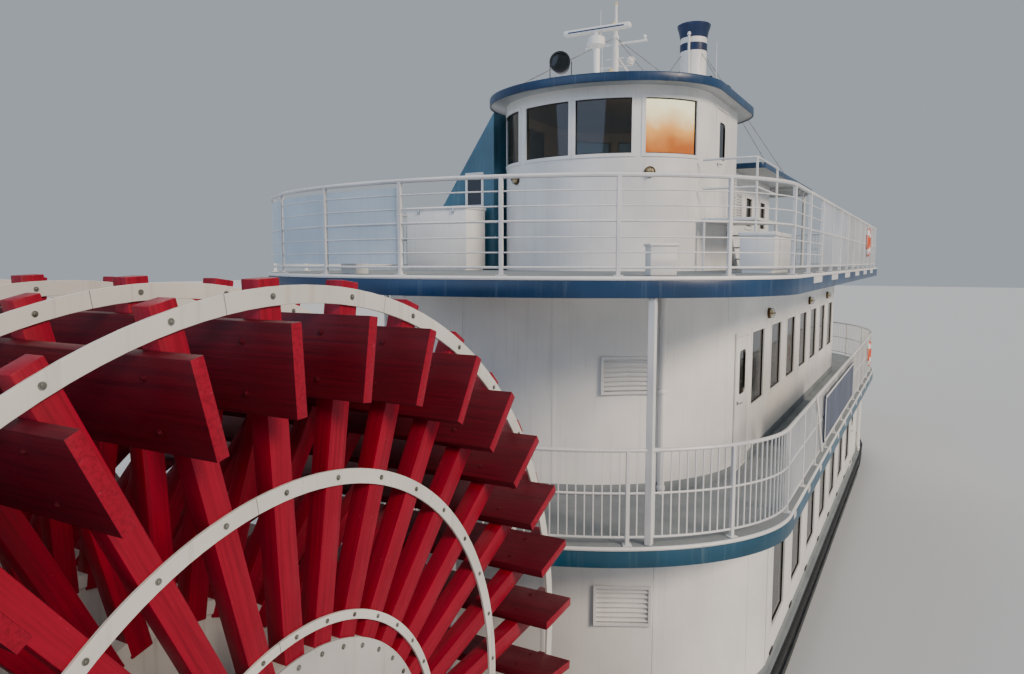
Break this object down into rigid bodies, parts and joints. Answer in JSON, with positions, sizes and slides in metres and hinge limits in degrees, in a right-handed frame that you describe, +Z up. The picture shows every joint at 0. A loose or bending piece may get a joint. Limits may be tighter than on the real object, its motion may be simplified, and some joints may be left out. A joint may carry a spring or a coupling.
{
  "type": "sternwheel riverboat",
  "caption": "White riverboat with blue deck edges, a rounded pilothouse and a large red stern paddle wheel carried in a dark steel frame.",
  "frame": {"origin": "on the floor under the flat bottom, amidships at the middle of the overall length; the waterline is 1.0 m above it", "axes": "+X to the bow, +Y to port, +Z up"},
  "size_m": [32.4, 7.9, 12.73],
  "materials": {
    "hull_black": "semi-gloss black hull paint, dull where it is wet",
    "house_white": "gloss white enamel with light streaks",
    "deck_blue": "gloss blue enamel on deck edges and roofs",
    "wheel_red": "bright red gloss paint on sawn timber",
    "ring_white": "white paint on flat steel bands, bolted",
    "frame_navy": "dark navy deck paint, worn at the edges",
    "shaft_steel": "turned and greased steel",
    "floor_grey": "grey non-slip deck paint",
    "window_glass": "dark tinted window glass",
    "lamp_glass": "frosted lamp glass",
    "fitting_chrome": "bright plated fittings",
    "rope_fibre": "laid natural rope"
  },
  "bodies": {
    "root": {"hull": "hull_black", "main_wall_starboard": "house_white", "main_wall_port": "house_white", "main_wall_aft": "house_white", "main_wall_fore": "house_white", "second_wall_starboard": "house_white", "second_wall_port": "house_white", "second_wall_aft": "house_white", "second_wall_fore": "house_white", "second_rail": "house_white", "third_rail": "house_white", "stair_fore": "house_white", "pilothouse_walls": "house_white", "pilothouse_steps": "house_white", "texas_walls": "house_white", "funnel": "house_white", "mast": "house_white", "radar_post": "house_white", "locker_starboard": "house_white", "locker_port": "house_white", "second_deck": "deck_blue", "third_deck": "deck_blue", "pilothouse_roof": "deck_blue", "texas_roof": "deck_blue", "stair_hood": "deck_blue", "fantail_frame": "frame_navy", "bearing_starboard": "frame_navy", "bearing_port": "frame_navy", "drive_case": "frame_navy", "bitts_starboard": "frame_navy", "bitts_port": "frame_navy", "pilothouse_floor": "floor_grey"},
    "wheel": {"wheel_shaft": "shaft_steel", "wheel_arms_1": "wheel_red", "wheel_arms_2": "wheel_red", "wheel_arms_3": "wheel_red", "wheel_arms_4": "wheel_red", "wheel_arms_5": "wheel_red", "wheel_ring_1": "ring_white", "wheel_ring_2": "ring_white", "wheel_ring_3": "ring_white", "wheel_ring_4": "ring_white", "wheel_ring_5": "ring_white", "middle_ring_starboard": "ring_white", "middle_ring_port": "ring_white", "hub_ring_starboard": "ring_white", "hub_ring_port": "ring_white", "hub_plate_starboard": "ring_white", "hub_plate_port": "ring_white"},
    "radar": {"radar_scanner": "house_white"},
    "rudder_starboard": {"rudder_starboard": "hull_black"},
    "rudder_port": {"rudder_port": "hull_black"},
    "main_door_starboard": {"main_door_starboard": "house_white"},
    "main_door_port": {"main_door_port": "house_white"},
    "second_door_starboard": {"second_door_starboard": "house_white"},
    "second_door_port": {"second_door_port": "house_white"},
    "pilothouse_door": {"pilothouse_door": "house_white"}
  },
  "joints": [
    {"name": "wheel_spin", "type": "hinge", "parent": "root", "child": "wheel", "pos_m": [-12, 0, 3.7], "axis": [0, 1, 0], "continuous": true},
    {"name": "rudder_turn", "type": "hinge", "parent": "root", "child": "rudder_starboard", "pos_m": [-7.2, -1.9, 0.5], "axis": [0, 0, 1], "range_deg": [-35, 35]},
    {"name": "rudder_port_turn", "type": "hinge", "parent": "root", "child": "rudder_port", "pos_m": [-7.2, 1.9, 0.5], "axis": [0, 0, 1], "range_deg": [-35, 35]},
    {"name": "radar_spin", "type": "hinge", "parent": "root", "child": "radar", "pos_m": [-2.4, 0, 11.1], "axis": [0, 0, 1], "continuous": true},
    {"name": "main_door_starboard_swing", "type": "hinge", "parent": "root", "child": "main_door_starboard", "pos_m": [7.29975, -3.6, 2.6], "axis": [0, 0, 1], "range_deg": [0, 100]},
    {"name": "main_door_port_swing", "type": "hinge", "parent": "root", "child": "main_door_port", "pos_m": [7.29975, 3.6, 2.6], "axis": [0, 0, -1], "range_deg": [0, 100]},
    {"name": "second_door_starboard_swing", "type": "hinge", "parent": "root", "child": "second_door_starboard", "pos_m": [-3.20025, -2.9, 5], "axis": [0, 0, 1], "range_deg": [0, 100]},
    {"name": "second_door_port_swing", "type": "hinge", "parent": "root", "child": "second_door_port", "pos_m": [-3.20025, 2.9, 5], "axis": [0, 0, -1], "range_deg": [0, 100]},
    {"name": "pilothouse_door_swing", "type": "hinge", "parent": "root", "child": "pilothouse_door", "pos_m": [-0.70025, -1.9, 8.8], "axis": [0, 0, 1], "range_deg": [0, 100]}
  ],
  "couplings": [
    {"joint": "rudder_port_turn", "follows": "rudder_turn", "ratio": 1}
  ]
}
